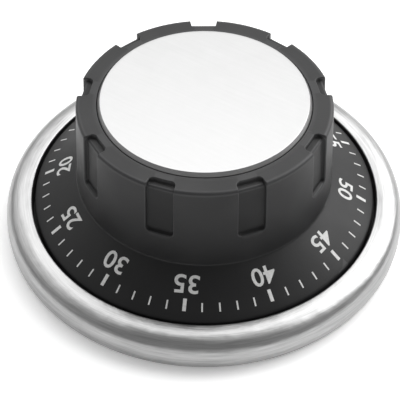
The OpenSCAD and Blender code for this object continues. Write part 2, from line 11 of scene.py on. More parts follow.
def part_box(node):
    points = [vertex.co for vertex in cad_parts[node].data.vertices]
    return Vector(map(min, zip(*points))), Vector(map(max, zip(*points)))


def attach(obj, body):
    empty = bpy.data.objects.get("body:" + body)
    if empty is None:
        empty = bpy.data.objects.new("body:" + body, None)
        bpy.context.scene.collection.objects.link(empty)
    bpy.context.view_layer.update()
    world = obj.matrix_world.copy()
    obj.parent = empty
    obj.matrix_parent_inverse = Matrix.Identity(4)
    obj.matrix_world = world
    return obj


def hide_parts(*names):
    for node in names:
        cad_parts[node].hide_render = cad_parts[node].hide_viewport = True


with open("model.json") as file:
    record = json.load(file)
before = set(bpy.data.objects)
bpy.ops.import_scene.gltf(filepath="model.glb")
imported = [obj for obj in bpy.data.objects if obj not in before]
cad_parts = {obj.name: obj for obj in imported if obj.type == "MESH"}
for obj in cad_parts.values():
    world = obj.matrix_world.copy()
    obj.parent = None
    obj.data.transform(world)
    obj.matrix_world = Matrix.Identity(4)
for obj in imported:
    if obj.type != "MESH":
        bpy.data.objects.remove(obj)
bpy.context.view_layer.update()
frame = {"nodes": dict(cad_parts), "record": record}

bl_info = {
    "name": "Kitchen Timer",
    "version": (1, 0, 0),
    "blender": (4, 5, 0),
    "location": "3D View > Sidebar > Timer",
    "description": "Builds a wind-up kitchen timer around its packed frame",
    "category": "Object",
}

MM = 0.001
TAU = 2 * math.pi
RING_LOW, RING_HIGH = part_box("bezel_ring")
KNOB_LOW, KNOB_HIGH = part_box("dial_knob")
CAP_LOW, CAP_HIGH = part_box("knob_cap")
TURNED_SIDES = 256  # sides of a turned piece
ARC_STEPS = 8  # steps of a small rounding
POCKET = "pocket"  # mesh attribute: 1 on the floor of a finger pocket
POCKET_MARGIN = 0.25 * MM  # strip just outside a pocket's edge
WALL_BAND = 1.1 * MM  # strip beside a pocket's wall where points are closely spaced
FINE = 0.1 * MM  # spacing of the points in that strip
PRINT_DEPTH = 0.05 * MM  # thickness of ticks and numerals
NUMERAL_STEP = 5  # minutes from one numeral or long tick to the next
SENSOR_MM = 36


# ---- small helpers ----

def hex_linear(text):
    """An sRGB hex colour as linear red, green, blue and alpha."""
    parts = [int(text[i:i + 2], 16) / 255 for i in (1, 3, 5)]
    return [c / 12.92 if c <= 0.04045 else ((c + 0.055) / 1.055) ** 2.4 for c in parts] + [1.0]


def add_node(tree, kind, inputs=None, **settings):
    """Adds a node, sets its settings, and fills or links its inputs."""
    made = tree.nodes.new(kind)
    for name, value in settings.items():
        setattr(made, name, value)
    for key, value in (inputs or {}).items():
        socket = made.inputs[key]
        if isinstance(value, bpy.types.NodeSocket):
            tree.links.new(value, socket)
        else:
            socket.default_value = value
    return made


def new_material(name):
    """An empty node material with its output and a Principled shader."""
    material = bpy.data.materials.new(name)
    material.use_nodes = True
    tree = material.node_tree
    tree.nodes.clear()
    shader = add_node(tree, "ShaderNodeBsdfPrincipled")
    add_node(tree, "ShaderNodeOutputMaterial", {"Surface": shader.outputs[0]})
    return material, tree, shader


def mesh_object(name, points, faces, material=None, smooth=True):
    """An object of the given points and faces at the origin, in the scene."""
    mesh = bpy.data.meshes.new(name)
    mesh.from_pydata([Vector(p) for p in points], [], faces)
    mesh.validate()
    for face in mesh.polygons:
        face.use_smooth = smooth
    made = bpy.data.objects.new(name, mesh)
    bpy.context.scene.collection.objects.link(made)
    if material:
        mesh.materials.append(material)
    return made


def outward(made):
    """Merges doubles and points every face of a closed mesh outwards."""
    same_point = 0.0005 * MM
    work = bmesh.new()
    work.from_mesh(made.data)
    bmesh.ops.remove_doubles(work, verts=work.verts, dist=same_point)
    bmesh.ops.recalc_face_normals(work, faces=work.faces)
    work.to_mesh(made.data)
    work.free()
    return made


def arc(centre, radius, start, end, steps):
    """Points on an arc in the (r, z) plane; angles in degrees, start and end included."""
    return [(centre[0] + radius * math.cos(math.radians(start + (end - start) * i / steps)),
             centre[1] + radius * math.sin(math.radians(start + (end - start) * i / steps)))
            for i in range(steps + 1)]


def between(start, end, steps):
    """Evenly spaced points on a line, without its two ends."""
    return [(start[0] + (end[0] - start[0]) * i / steps, start[1] + (end[1] - start[1]) * i / steps)
            for i in range(1, steps)]


def lathe(name, profile, material):
    """A closed outline in (r, z) spun round Z; points on the axis close to a pole."""
    sides = TURNED_SIDES
    points, faces, rings = [], [], []
    for r, z in profile:
        if r == 0:
            rings.append([len(points)] * sides)
            points.append((0, 0, z))
        else:
            rings.append(list(range(len(points), len(points) + sides)))
            points += [(r * math.cos(TAU * i / sides), r * math.sin(TAU * i / sides), z)
                       for i in range(sides)]
    for a, b in zip(rings, rings[1:] + rings[:1]):
        for i in range(sides):
            j = (i + 1) % sides
            face = []
            for corner in (a[i], a[j], b[j], b[i]):
                if corner not in face:
                    face.append(corner)
            if len(face) > 2:
                faces.append(face)
    return outward(mesh_object(name, points, faces, material))


def applied(made, tree, values):
    """Runs a geometry node tree on an object and keeps the result as its plain mesh."""
    modifier = made.modifiers.new(tree.name, "NODES")
    modifier.node_group = tree
    for item in tree.interface.items_tree:
        if item.item_type == "SOCKET" and item.in_out == "INPUT" and item.name in values:
            modifier[item.identifier] = values[item.name]
    depsgraph = bpy.context.evaluated_depsgraph_get()
    result = bpy.data.meshes.new_from_object(made.evaluated_get(depsgraph))
    made.modifiers.clear()
    made.data = result
    return made


def node_tree(name, inputs):
    """A geometry node tree with named inputs and its group input and output nodes."""
    tree = bpy.data.node_groups.new(name, "GeometryNodeTree")
    tree.interface.new_socket(name="Geometry", in_out="INPUT", socket_type="NodeSocketGeometry")
    for label, kind in inputs:
        tree.interface.new_socket(name=label, in_out="INPUT", socket_type=f"NodeSocket{kind}")
    tree.interface.new_socket(name="Geometry", in_out="OUTPUT", socket_type="NodeSocketGeometry")
    return tree, add_node(tree, "NodeGroupInput"), add_node(tree, "NodeGroupOutput")


# ---- sizes and colours a user may change ----

class TimerShape(bpy.types.PropertyGroup):
    """Sizes of the ring, the knob with its pockets, and the print."""
    ring_width: FloatProperty(name="Ring Width", default=5.4 * MM, unit="LENGTH",
        description="From the ring's inner lip to its widest point")
    lip_height: FloatProperty(name="Lip Height", default=RING_HIGH[2], unit="LENGTH",
        description="Height of the ring's inner lip")
    belly_height: FloatProperty(name="Belly Height", default=2.0 * MM, unit="LENGTH",
        description="Height of the ring's widest point")
    ring_curve: FloatProperty(name="Ring Curve", default=2.8, min=2.0, max=4.0,
        description="2 makes the ring's section an ellipse, and more makes it squarer")
    sheet: FloatProperty(name="Sheet", default=0.7 * MM, unit="LENGTH",
        description="Thickness of the ring's sheet steel")
    foot_radius: FloatProperty(name="Knob Foot Radius", default=25.2 * MM, unit="LENGTH",
        description="Radius of the knob where the sloping dial starts")
    foot_height: FloatProperty(name="Knob Foot Height", default=12.2 * MM, unit="LENGTH",
        description="Height at which the sloping dial starts")
    draft: FloatProperty(name="Draft", default=1.0 * MM, unit="LENGTH",
        description="How much the knob's radius shrinks up to its top edge")
    wall: FloatProperty(name="Wall", default=1.6 * MM, unit="LENGTH",
        description="Wall of the dial and the knob")
    foot_fillet: FloatProperty(name="Foot Fillet", default=0.6 * MM, unit="LENGTH",
        description="Radius of the blend between dial and knob")
    rim_height: FloatProperty(name="Rim Height", default=6.71 * MM, unit="LENGTH",
        description="Height at which the dial's rounded rim starts")
    pockets: IntProperty(name="Pockets", default=9, min=3,
        description="Number of finger pockets round the knob")
    pocket_width: FloatProperty(name="Pocket Width", default=5.3 * MM, unit="LENGTH",
        description="Width of a finger pocket")
    pocket_depth: FloatProperty(name="Pocket Depth", default=0.85 * MM, unit="LENGTH",
        description="Depth of a finger pocket in the knob's wall")
    pocket_height: FloatProperty(name="Pocket Height", default=12.1 * MM, unit="LENGTH",
        description="Height of a finger pocket below the cap's top")
    pocket_corner: FloatProperty(name="Pocket Corner", default=0.8 * MM, unit="LENGTH",
        description="Corner radius of a finger pocket")
    divisions: IntProperty(name="Divisions", default=61, min=12,
        description="Equal steps of the dial; the bell rings in the last one")
    minutes: IntProperty(name="Minutes", default=60, min=12,
        description="Number of minutes on the dial")
    tick_radius: FloatProperty(name="Tick Outer Radius", default=32.4 * MM, unit="LENGTH",
        description="Radius at which every tick ends")
    tick_length: FloatProperty(name="Tick Length", default=1.4 * MM, unit="LENGTH",
        description="Length of a minute tick, seen from above")
    tick_width: FloatProperty(name="Tick Width", default=0.3 * MM, unit="LENGTH",
        description="Width of a minute tick")
    five_length: FloatProperty(name="Five-Minute Tick Length", default=1.95 * MM, unit="LENGTH",
        description="Length of a five-minute tick, seen from above")
    five_width: FloatProperty(name="Five-Minute Tick Width", default=0.68 * MM, unit="LENGTH",
        description="Width of a five-minute tick")
    numeral_radius: FloatProperty(name="Numeral Radius", default=28.17 * MM, unit="LENGTH",
        description="Radius of the middle of the numerals")
    numeral_height: FloatProperty(name="Numeral Height", default=3.5 * MM, unit="LENGTH",
        description="Height of a numeral along the slope")
    numeral_width: FloatProperty(name="Numeral Width", default=4.67 * MM, unit="LENGTH",
        description="Width of a two-digit numeral")


class TimerColours(bpy.types.PropertyGroup):
    """Colours of what shows."""
    steel: FloatVectorProperty(name="Steel", subtype="COLOR", size=4,
        default=hex_linear("#C4C4C4"), description="Stainless steel of the ring")
    cap: FloatVectorProperty(name="Cap", subtype="COLOR", size=4,
        default=hex_linear("#B2B2B2"), description="Stainless steel of the cap")
    plastic: FloatVectorProperty(name="Plastic", subtype="COLOR", size=4,
        default=hex_linear("#161617"), description="Moulded plastic of dial and knob")
    print_ink: FloatVectorProperty(name="Print", subtype="COLOR", size=4,
        default=hex_linear("#DCDCDB"), description="Pad-printed ticks and numerals")
    floor: FloatVectorProperty(name="Floor", subtype="COLOR", size=4,
        default=hex_linear("#FBFBFB"), description="Plain pale floor")


class StageSetup(bpy.types.PropertyGroup):
    """Where the camera stands and how it is aimed."""
    azimuth: FloatProperty(name="Azimuth", default=math.radians(32.87), subtype="ANGLE",
        description="Camera direction round the timer")
    elevation: FloatProperty(name="Elevation", default=math.radians(46.09), subtype="ANGLE",
        description="Camera height above the horizon")
    distance: FloatProperty(name="Distance", default=237.4 * MM, unit="LENGTH",
        description="From the camera to the dial's middle")
    lens: FloatProperty(name="Lens", default=106.2, unit="CAMERA",
        description="Focal length in millimetres on a 36 mm sensor")
    roll: FloatProperty(name="Roll", default=math.radians(0.38), subtype="ANGLE",
        description="Camera roll")
    offset_right: FloatProperty(name="Offset Right", default=0.0105, subtype="FACTOR",
        description="Where the dial's middle stands right of the frame's middle, in frame widths")
    offset_up: FloatProperty(name="Offset Up", default=0.0429, subtype="FACTOR",
        description="Where the dial's middle stands above the frame's middle, in frame widths")


def shape():
    """The sizes that are set in the scene."""
    return bpy.context.scene.timer_shape


def colours():
    """The colours that are set in the scene."""
    return bpy.context.scene.timer_colours


# ---- finishes ----

def darker(colour, share):
    """A colour brought down to a share of its brightness."""
    return [c * share for c in colour[:3]] + [1.0]


def veiled(colour, times, veil):
    """A colour made lighter, with the same pale veil added to each channel."""
    return [c * times + veil for c in colour[:3]] + [1.0]


def place_of(tree):
    """Where a point of the piece is, in metres."""
    return add_node(tree, "ShaderNodeTexCoord").outputs["Object"]


def clouds(tree, place, spot_mm, start=0.3, end=0.7):
    """Soft patches about spot_mm across, stretched from start..end to 0..1."""
    made = add_node(tree, "ShaderNodeTexNoise", {
        "Vector": place, "Scale": 1 / (spot_mm * MM), "Detail": 3.0, "Roughness": 0.5})
    return add_node(tree, "ShaderNodeMapRange", {
        "Value": made.outputs["Fac"], "From Min": start, "From Max": end}).outputs[0]


def tint(tree, shader, share, first, second):
    """Colours the shader from first to second, and returns the node for a later layer."""
    made = add_node(tree, "ShaderNodeMix", {0: share, 6: first, 7: second}, data_type="RGBA")
    tree.links.new(made.outputs[2], shader.inputs["Base Color"])
    return made.outputs[2]


def gloss(tree, shader, share, smooth, dull):
    """Roughness that goes from smooth to dull."""
    made = add_node(tree, "ShaderNodeMapRange", {"Value": share, "To Min": smooth, "To Max": dull},
                    clamp=False)
    tree.links.new(made.outputs[0], shader.inputs["Roughness"])


def relief(tree, shader, *layers):
    """Bumps in the shader's normal, coarse first; each layer is height, depth in mm, strength."""
    below = {}
    for height, depth_mm, strength in layers:
        made = add_node(tree, "ShaderNodeBump", {
            "Height": height, "Distance": depth_mm * MM, "Strength": strength, **below})
        below = {"Normal": made.outputs[0]}
    tree.links.new(made.outputs[0], shader.inputs["Normal"])


def brush_marks(tree, along_mm, across_mm, detail):
    """Marks that run round Z, long along the circle and short across it."""
    middle_r_mm = 35  # the marks are along_mm long at this radius
    split = add_node(tree, "ShaderNodeSeparateXYZ", {0: place_of(tree)}).outputs
    flat = add_node(tree, "ShaderNodeCombineXYZ", {0: split[0], 1: split[1]}).outputs[0]
    radius = add_node(tree, "ShaderNodeVectorMath", {0: flat}, operation="LENGTH").outputs["Value"]
    unit = add_node(tree, "ShaderNodeVectorMath", {0: flat}, operation="NORMALIZE").outputs[0]
    circle = add_node(tree, "ShaderNodeVectorMath", {0: unit, "Scale": middle_r_mm / along_mm},
                      operation="SCALE").outputs[0]
    turned = add_node(tree, "ShaderNodeSeparateXYZ", {0: circle}).outputs
    across = add_node(tree, "ShaderNodeMath", {0: radius, 1: split[2]}, operation="SUBTRACT")
    depth = add_node(tree, "ShaderNodeMath", {0: across.outputs[0], 1: 1 / (across_mm * MM)},
                     operation="MULTIPLY").outputs[0]
    way = add_node(tree, "ShaderNodeCombineXYZ", {0: turned[0], 1: turned[1], 2: depth}).outputs[0]
    return add_node(tree, "ShaderNodeTexNoise", {
        "Vector": way, "Scale": 1.0, "Detail": detail, "Roughness": 0.6}).outputs["Fac"]


def turned_steel(name, colour, roughness, streak, grit_mm):
    """Stainless steel brushed on a lathe: fine marks round the axis stretch each highlight
    sideways and leave faint lighter and darker rings, and shallow waves from pressing make the
    edges of the reflections uneven. The grit is drawn coarser than it is, so that it shows."""
    material, tree, shader = new_material(name)
    fine = brush_marks(tree, along_mm=6, across_mm=grit_mm, detail=3.0)
    broad = brush_marks(tree, along_mm=25, across_mm=grit_mm * 6, detail=1.0)
    both = add_node(tree, "ShaderNodeMix", {0: 0.4, 2: fine, 3: broad}).outputs[0]
    share = add_node(tree, "ShaderNodeMapRange", {
        "Value": both, "From Min": 0.3, "From Max": 0.7}).outputs[0]
    tint(tree, shader, share, darker(colour, 1 - streak), colour)
    gloss(tree, shader, share, roughness - 0.06, roughness + 0.08)
    waves = clouds(tree, place_of(tree), spot_mm=5)
    relief(tree, shader, (waves, 0.07, 1.0), (fine, 0.004, 0.6))
    shader.inputs["Metallic"].default_value = 1.0
    shader.inputs["Anisotropic"].default_value = 0.4
    return material


def satin_steel(name, colour, roughness):
    """Satin stainless sheet: fine straight marks across the disc with faint cloudy handling
    marks, so it reads as nearly white with a soft sheen."""
    material, tree, shader = new_material(name)
    place = place_of(tree)
    along_mm, across_mm, grain_turn = 16, 0.7, math.radians(33)
    stretched = add_node(tree, "ShaderNodeMapping", {
        "Vector": place, "Rotation": (0, 0, grain_turn),
        "Scale": (1 / (along_mm * MM), 1 / (across_mm * MM), 1 / (along_mm * MM))}).outputs[0]
    grain = add_node(tree, "ShaderNodeTexNoise", {
        "Vector": stretched, "Scale": 1.0, "Detail": 3.0, "Roughness": 0.6}).outputs["Fac"]
    handled = clouds(tree, place, spot_mm=5, start=0.35, end=0.65)
    share = add_node(tree, "ShaderNodeMix", {0: 0.25, 2: grain, 3: handled}).outputs[0]
    tint(tree, shader, share, darker(colour, 0.84), colour)
    gloss(tree, shader, share, roughness - 0.05, roughness + 0.08)
    relief(tree, shader, (grain, 0.003, 0.4))
    shader.inputs["Metallic"].default_value = 1.0
    return material


def moulded_plastic(name, colour, roughness, grain_mm, depth_mm):
    """Satin moulded ABS: a fine spark-eroded grain breaks up the sheen, convex edges get a painted
    highlight in a lighter colour, and the floors of the finger pockets, which an attribute marks,
    stay matt and get painted shade in a darker colour."""
    material, tree, shader = new_material(name)
    place = place_of(tree)
    cloud = clouds(tree, place, spot_mm=7)
    body = tint(tree, shader, cloud, darker(colour, 0.85), colour)
    pocket = add_node(tree, "ShaderNodeAttribute", attribute_name=POCKET).outputs["Fac"]
    # painted shade: the floors of the finger pockets are drawn in a darker colour
    pocket_shade = tint(tree, shader, pocket, body, darker(colour, 0.6))
    # painted highlight: convex edges, found by pointiness, are drawn in a lighter colour
    edge = add_node(tree, "ShaderNodeNewGeometry").outputs["Pointiness"]
    edge_highlight = add_node(tree, "ShaderNodeMapRange", {
        "Value": edge, "From Min": 0.51, "From Max": 0.53, "To Max": 0.6}).outputs[0]
    tint(tree, shader, edge_highlight, pocket_shade, veiled(colour, 3, 0.03))
    matt = add_node(tree, "ShaderNodeMath", {0: pocket, 1: cloud}, operation="ADD")
    gloss(tree, shader, matt.outputs[0], roughness - 0.04, roughness + 0.05)
    relief(tree, shader, (clouds(tree, place, grain_mm), depth_mm, 0.4))
    shader.inputs["IOR"].default_value = 1.42
    return material


def printed_ink(name, colour):
    """Pad-printed ink: nearly flat, a little uneven where the pad lifted."""
    material, tree, shader = new_material(name)
    patchy = clouds(tree, place_of(tree), spot_mm=0.6, end=0.65)
    tint(tree, shader, patchy, darker(colour, 0.82), colour)
    gloss(tree, shader, patchy, 0.48, 0.56)
    relief(tree, shader, (patchy, 0.004, 0.3))
    return material


def movement_metal(name, hex_colour, roughness, marks_mm):
    """Turned or stamped movement part: bright metal with short tool marks and a dull haze."""
    material, tree, shader = new_material(name)
    place = place_of(tree)
    haze = clouds(tree, place, spot_mm=3)
    colour = hex_linear(hex_colour)
    tint(tree, shader, haze, darker(colour, 0.75), colour)
    gloss(tree, shader, haze, roughness, roughness + 0.12)
    relief(tree, shader, (clouds(tree, place, marks_mm), 0.003, 0.3))
    shader.inputs["Metallic"].default_value = 1.0
    return material


def dusty_black(name, hex_colour):
    """Moulded rubber or pressed ferrite: matt, dusty and very slightly pitted."""
    material, tree, shader = new_material(name)
    place = place_of(tree)
    dust = clouds(tree, place, spot_mm=2.5, start=0.4, end=1.0)
    colour = hex_linear(hex_colour)
    tint(tree, shader, dust, colour, veiled(colour, 1.8, 0.01))
    gloss(tree, shader, dust, 0.75, 0.9)
    relief(tree, shader, (clouds(tree, place, spot_mm=0.15), 0.02, 0.4))
    return material


# ---- the steel ring ----

def ring_line(s, t, steps, first=0.0):
    """The ring's rounded top and side, moved in by t: from its flat land, or from first degrees
    on, to its widest point at 90 degrees."""
    land = 0.4 * MM
    land_r = RING_HIGH[0] - s.ring_width + land
    points = []
    for i in range(steps + 1):
        angle = math.radians(first + (90 - first) * i / steps)
        points.append((land_r + (RING_HIGH[0] - land_r - t) * math.sin(angle) ** (2 / s.ring_curve),
                       s.belly_height + (s.lip_height - s.belly_height - t)
                       * max(0.0, math.cos(angle)) ** (2 / s.ring_curve)))
    return points


def ring_profile(s):
    """Closed outline of the ring's sheet: lip, rounded top, side and hem."""
    outer_r, bottom = RING_HIGH[0], RING_LOW[2]
    lip_r = outer_r - s.ring_width
    nose, hem_r = 0.35 * MM, 0.25 * MM
    below_belly, tuck_below = s.belly_height - 0.8 * MM, 0.1 * MM
    hem_tuck = 0.3 * MM  # how far the hem is drawn in under the widest point
    skirt_z = s.lip_height - 2.4 * MM  # the lip's skirt ends here, behind the dial's rim
    outside = (arc((lip_r + nose, s.lip_height - nose), nose, 180, 90, ARC_STEPS)[:-1]
               + ring_line(s, 0, steps=48) + [(outer_r - tuck_below, below_belly)]
               + arc((outer_r - hem_tuck - hem_r, bottom + hem_r), hem_r, 0, -180, ARC_STEPS))
    inside = ([(outer_r - s.sheet - tuck_below, below_belly)]
              + ring_line(s, s.sheet, steps=16, first=6)[::-1]
              + [(lip_r + s.sheet, s.lip_height - s.sheet), (lip_r + s.sheet, skirt_z),
                 (lip_r, skirt_z)])
    return outside + inside


class TIMER_OT_steel_ring(bpy.types.Operator):
    """Spin the brushed steel ring that holds the base"""
    bl_idname = "timer.steel_ring"
    bl_label = "Steel Ring"

    def execute(self, context):
        steel = turned_steel("turned stainless steel", list(colours().steel), 0.38, 0.5, 0.3)
        ring = lathe("steel_ring", ring_profile(shape()), steel)
        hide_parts("bezel_ring")
        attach(ring, "base")
        return {"FINISHED"}


# ---- dial and knob ----

def knob_sizes(s):
    """Radii and heights shared by the outline of the knob, its pockets and the print."""
    top_z = CAP_HIGH[2]
    rim_in = 0.3 * MM  # the slope ends this far inside the dial's widest radius
    return {
        "dial_r": KNOB_HIGH[0], "low": KNOB_LOW[2], "rim_in": rim_in,
        "edge_z": top_z - 1.2 * MM, "collar_z": top_z - 0.7 * MM, "seat_z": CAP_LOW[2],
        "under_z": top_z - 2.8 * MM, "bottom_z": top_z - s.pocket_height,
        "top_r": s.foot_radius - s.draft, "mid_r": s.foot_radius - s.draft / 2,
        "seat_r": CAP_HIGH[0] + 0.13 * MM,
        "slope": (s.foot_height - s.rim_height) / (KNOB_HIGH[0] - rim_in - s.foot_radius),
    }


def cone_height(s, r):
    """Height of the sloping dial at a radius."""
    return s.foot_height - (r - s.foot_radius) * knob_sizes(s)["slope"]


def blend_arc(before, corner, after, radius, steps):
    """Arc of a radius that rounds the corner between two straight stretches."""
    to_before = (Vector(before) - Vector(corner)).normalized()
    to_after = (Vector(after) - Vector(corner)).normalized()
    half = math.acos(max(-1, min(1, to_before.dot(to_after)))) / 2
    centre = Vector(corner) + (to_before + to_after).normalized() * radius / math.sin(half)
    reach = radius / math.tan(half)
    first = Vector(corner) + to_before * reach - centre
    last = Vector(corner) + to_after * reach - centre
    start = math.atan2(first[1], first[0])
    sweep = (math.atan2(last[1], last[0]) - start + math.pi) % TAU - math.pi
    return arc(tuple(centre), radius, math.degrees(start), math.degrees(start + sweep), steps)


def resample(points, stations):
    """Points at the given shares of a polyline's length."""
    tiny = 1e-12
    lengths = [0.0]
    for a, b in zip(points, points[1:]):
        lengths.append(lengths[-1] + math.dist(a, b))
    made = []
    for share in stations:
        want = share * lengths[-1]
        i = max(j for j in range(len(points) - 1) if lengths[j] <= want + tiny)
        part = (want - lengths[i]) / max(lengths[i + 1] - lengths[i], tiny)
        a, b = points[i], points[i + 1]
        made.append((a[0] + (b[0] - a[0]) * part, a[1] + (b[1] - a[1]) * part))
    return made


def dense_shares(length, coarse_steps):
    """Shares of a length, closely spaced beside both ends and wider between."""
    edge = [i * FINE / length for i in range(round(WALL_BAND / FINE))]
    middle = [WALL_BAND / length + (1 - 2 * WALL_BAND / length) * i / coarse_steps
              for i in range(coarse_steps + 1)]
    return edge + middle + [1 - share for share in reversed(edge)]


def knob_rows(s):
    """Rows of the knob's outline and the pocket's length. A row is its outer point, and where it
    crosses the pocket also the floor's point and the distance along the pocket."""
    k = knob_sizes(s)
    rim_round, edge_round, floor_round, seat_round = 1.0 * MM, 0.45 * MM, 0.3 * MM, 0.15 * MM
    bottom_z = k["bottom_z"]
    low = (k["dial_r"], k["low"])
    rim = (k["dial_r"] - k["rim_in"], s.rim_height)
    rim_corner = (k["dial_r"], s.rim_height - k["rim_in"] * k["slope"])
    foot = (s.foot_radius, s.foot_height)
    edge_corner = (k["top_r"] - 0.03 * MM, k["edge_z"] + 0.42 * MM)  # before it is rounded
    seat = (k["seat_r"], k["collar_z"])

    def on_wall(z, inwards=0.0):
        """A point of the drafted wall, moved inwards."""
        shrink = s.draft * (z - s.foot_height) / (k["edge_z"] - s.foot_height)
        return (s.foot_radius - shrink - inwards, z)

    def on_collar(r):
        """A point of the plastic collar round the cap."""
        rise = (edge_arc[-1][1] - seat[1]) * (r - seat[0]) / (edge_arc[-1][0] - seat[0])
        return (r, seat[1] + rise)

    rim_arc = blend_arc(low, rim_corner, foot, rim_round, ARC_STEPS)
    foot_arc = blend_arc(rim, foot, on_wall(bottom_z), s.foot_fillet, ARC_STEPS)
    edge_arc = blend_arc(on_wall(bottom_z), edge_corner, seat, edge_round, ARC_STEPS)

    inner_r = k["seat_r"] + 1.72 * MM  # the pocket's cut into the collar ends here
    floor_top = k["edge_z"] - 0.35 * MM  # the pocket's floor turns inwards here
    floor_low, floor_high = on_wall(bottom_z, s.pocket_depth), on_wall(floor_top, s.pocket_depth)
    floor_end = (inner_r, floor_top)
    outer = [on_wall(bottom_z)] + edge_arc + [on_collar(inner_r)]
    floor = [floor_low] + blend_arc(floor_low, floor_high, floor_end, floor_round, 6) + [floor_end]
    length = sum(math.dist(a, b) for a, b in zip(outer, outer[1:]))
    shares = dense_shares(length, 26)

    before = [low] + rim_arc + between(rim_arc[-1], foot_arc[0], 8) + foot_arc
    before += between(foot_arc[-1], on_wall(bottom_z - POCKET_MARGIN), 4)
    before += [on_wall(bottom_z - POCKET_MARGIN), on_wall(bottom_z - POCKET_MARGIN / 2)]
    after = [on_collar(inner_r - POCKET_MARGIN / 2), on_collar(inner_r - POCKET_MARGIN)]
    after += [on_collar(seat[0] + seat_round), (seat[0] + 0.04 * MM, seat[1] - 0.01 * MM),
              (seat[0], seat[1] - seat_round), (seat[0], k["seat_z"])]
    after += inner_outline(s, k)
    rows = [(p, None, 0) for p in before]
    rows += [(p, q, share * length) for p, q, share in
             zip(resample(outer, shares), resample(floor, shares), shares)]
    rows += [(p, None, 0) for p in after]
    return rows, length


def inner_outline(s, k):
    """The hidden side of the moulding: hub bore, knob cavity and the dial's underside."""
    head_r, bore_r, hub_r = 2.06 * MM, 1.63 * MM, 4.5 * MM
    head_z = k["seat_z"] - 1.1 * MM
    hub_z = k["under_z"] - 2.3 * MM
    chamfer, thinner = 1 * MM, 0.2 * MM
    cavity_r = k["top_r"] - s.pocket_depth - s.wall + thinner  # the wall is thinner behind a pocket
    skirt_r = k["dial_r"] - s.wall
    under = s.wall * math.sqrt(1 + k["slope"] ** 2)
    return [
        (head_r, k["seat_z"]), (head_r, head_z), (bore_r, head_z), (bore_r, hub_z), (hub_r, hub_z),
        (hub_r, k["under_z"]), (cavity_r - chamfer, k["under_z"]),
        (cavity_r, k["under_z"] - chamfer), (cavity_r, cone_height(s, cavity_r) - under),
        (skirt_r, cone_height(s, skirt_r) - under), (skirt_r, k["low"]),
    ]


def pocket_columns(s, sector):
    """Angles across one sector, close together beside the pocket's walls."""
    r = knob_sizes(s)["mid_r"]
    first = s.pocket_width / 2 - WALL_BAND
    middle_steps, outer_steps = 3, 5
    middle = [first * i / middle_steps for i in range(middle_steps)]
    beside = [first + i * FINE for i in range(round((WALL_BAND + POCKET_MARGIN) / FINE) + 1)]
    rest = sector / 2 * r - beside[-1]
    outside = [beside[-1] + rest * i / outer_steps for i in range(1, outer_steps + 1)]
    right = middle + beside + outside
    return [-x / r for x in reversed(right[1:])] + [x / r for x in right]


def rounded_box_distance(x, y, half_w, low, high, corner):
    """Signed distance to a rounded rectangle: negative inside."""
    dx = abs(x) - half_w + corner
    dy = abs(y - (low + high) / 2) - (high - low) / 2 + corner
    return math.hypot(max(dx, 0), max(dy, 0)) + min(max(dx, dy), 0) - corner


def knob_sector(s, material):
    """One sector of the moulding with one pocket in its middle."""
    sector = TAU / s.pockets
    rows, length = knob_rows(s)
    columns = pocket_columns(s, sector)
    mid_r = knob_sizes(s)["mid_r"]
    side_wall = 0.16 * MM  # a pocket's side reaches its full depth over this width
    points, depths = [], []
    for outer, floor, along in rows:
        for angle in columns:
            r, z = outer
            share = 0.0
            if floor:
                gap = rounded_box_distance(angle * mid_r, along, s.pocket_width / 2, 0, length,
                                           s.pocket_corner)
                share = max(0.0, min(1.0, 0.5 - gap / side_wall))
                share = share * share * (3 - 2 * share)
                r += (floor[0] / math.cos(angle) - r) * share
                z += (floor[1] - z) * share
            points.append((r * math.cos(angle), r * math.sin(angle), z))
            depths.append(share)
    wide = len(columns)
    faces = []
    for i in range(len(rows)):
        j = (i + 1) % len(rows)
        faces += [(i * wide + c, i * wide + c + 1, j * wide + c + 1, j * wide + c)
                  for c in range(wide - 1)]
    made = mesh_object("dial_and_knob", points, faces, material)
    made.data.attributes.new(POCKET, "FLOAT", "POINT").data.foreach_set("value", depths)
    return made


def sector_tree(material):
    """Repeats a sector round Z and welds the copies into one closed shell."""
    tree, entry, out = node_tree("repeat round axis", [
        ("Count", "Int"), ("Start", "Float"), ("Weld", "Float")])
    dots = add_node(tree, "GeometryNodeMeshLine", {"Count": entry.outputs["Count"],
                                                   "Offset": (0, 0, 0)})
    step = add_node(tree, "ShaderNodeMath", {0: TAU, 1: entry.outputs["Count"]}, operation="DIVIDE")
    turn = add_node(tree, "ShaderNodeMath", {
        0: add_node(tree, "GeometryNodeInputIndex").outputs[0], 1: step.outputs[0],
        2: entry.outputs["Start"]}, operation="MULTIPLY_ADD")
    spin = add_node(tree, "ShaderNodeCombineXYZ", {2: turn.outputs[0]})
    copies = add_node(tree, "GeometryNodeInstanceOnPoints", {
        "Points": dots.outputs[0], "Instance": entry.outputs["Geometry"],
        "Rotation": spin.outputs[0]})
    real = add_node(tree, "GeometryNodeRealizeInstances", {0: copies.outputs[0]})
    weld = add_node(tree, "GeometryNodeMergeByDistance", {
        "Geometry": real.outputs[0], "Distance": entry.outputs["Weld"]})
    finish = add_node(tree, "GeometryNodeSetMaterial", {"Geometry": weld.outputs[0],
                                                        "Material": material})
    tree.links.new(finish.outputs[0], out.inputs[0])
    return tree


class TIMER_OT_dial_knob(bpy.types.Operator):
    """Mould the sloping dial and its knob with finger pockets in one piece"""
    bl_idname = "timer.dial_knob"
    bl_label = "Dial and Knob"

    def execute(self, context):
        s = shape()
        plastic = moulded_plastic("satin moulded ABS", list(colours().plastic), 0.45, 0.4, 0.012)
        knob = knob_sector(s, plastic)
        first_pocket = dial_angle(s, -1.07)  # in divisions from the dial's zero
        applied(knob, sector_tree(plastic), {
            "Count": s.pockets, "Start": first_pocket, "Weld": 0.002 * MM})
        outward(knob)
        for face in knob.data.polygons:
            face.use_smooth = True
        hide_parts("dial_knob")
        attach(knob, "dial")
        return {"FINISHED"}


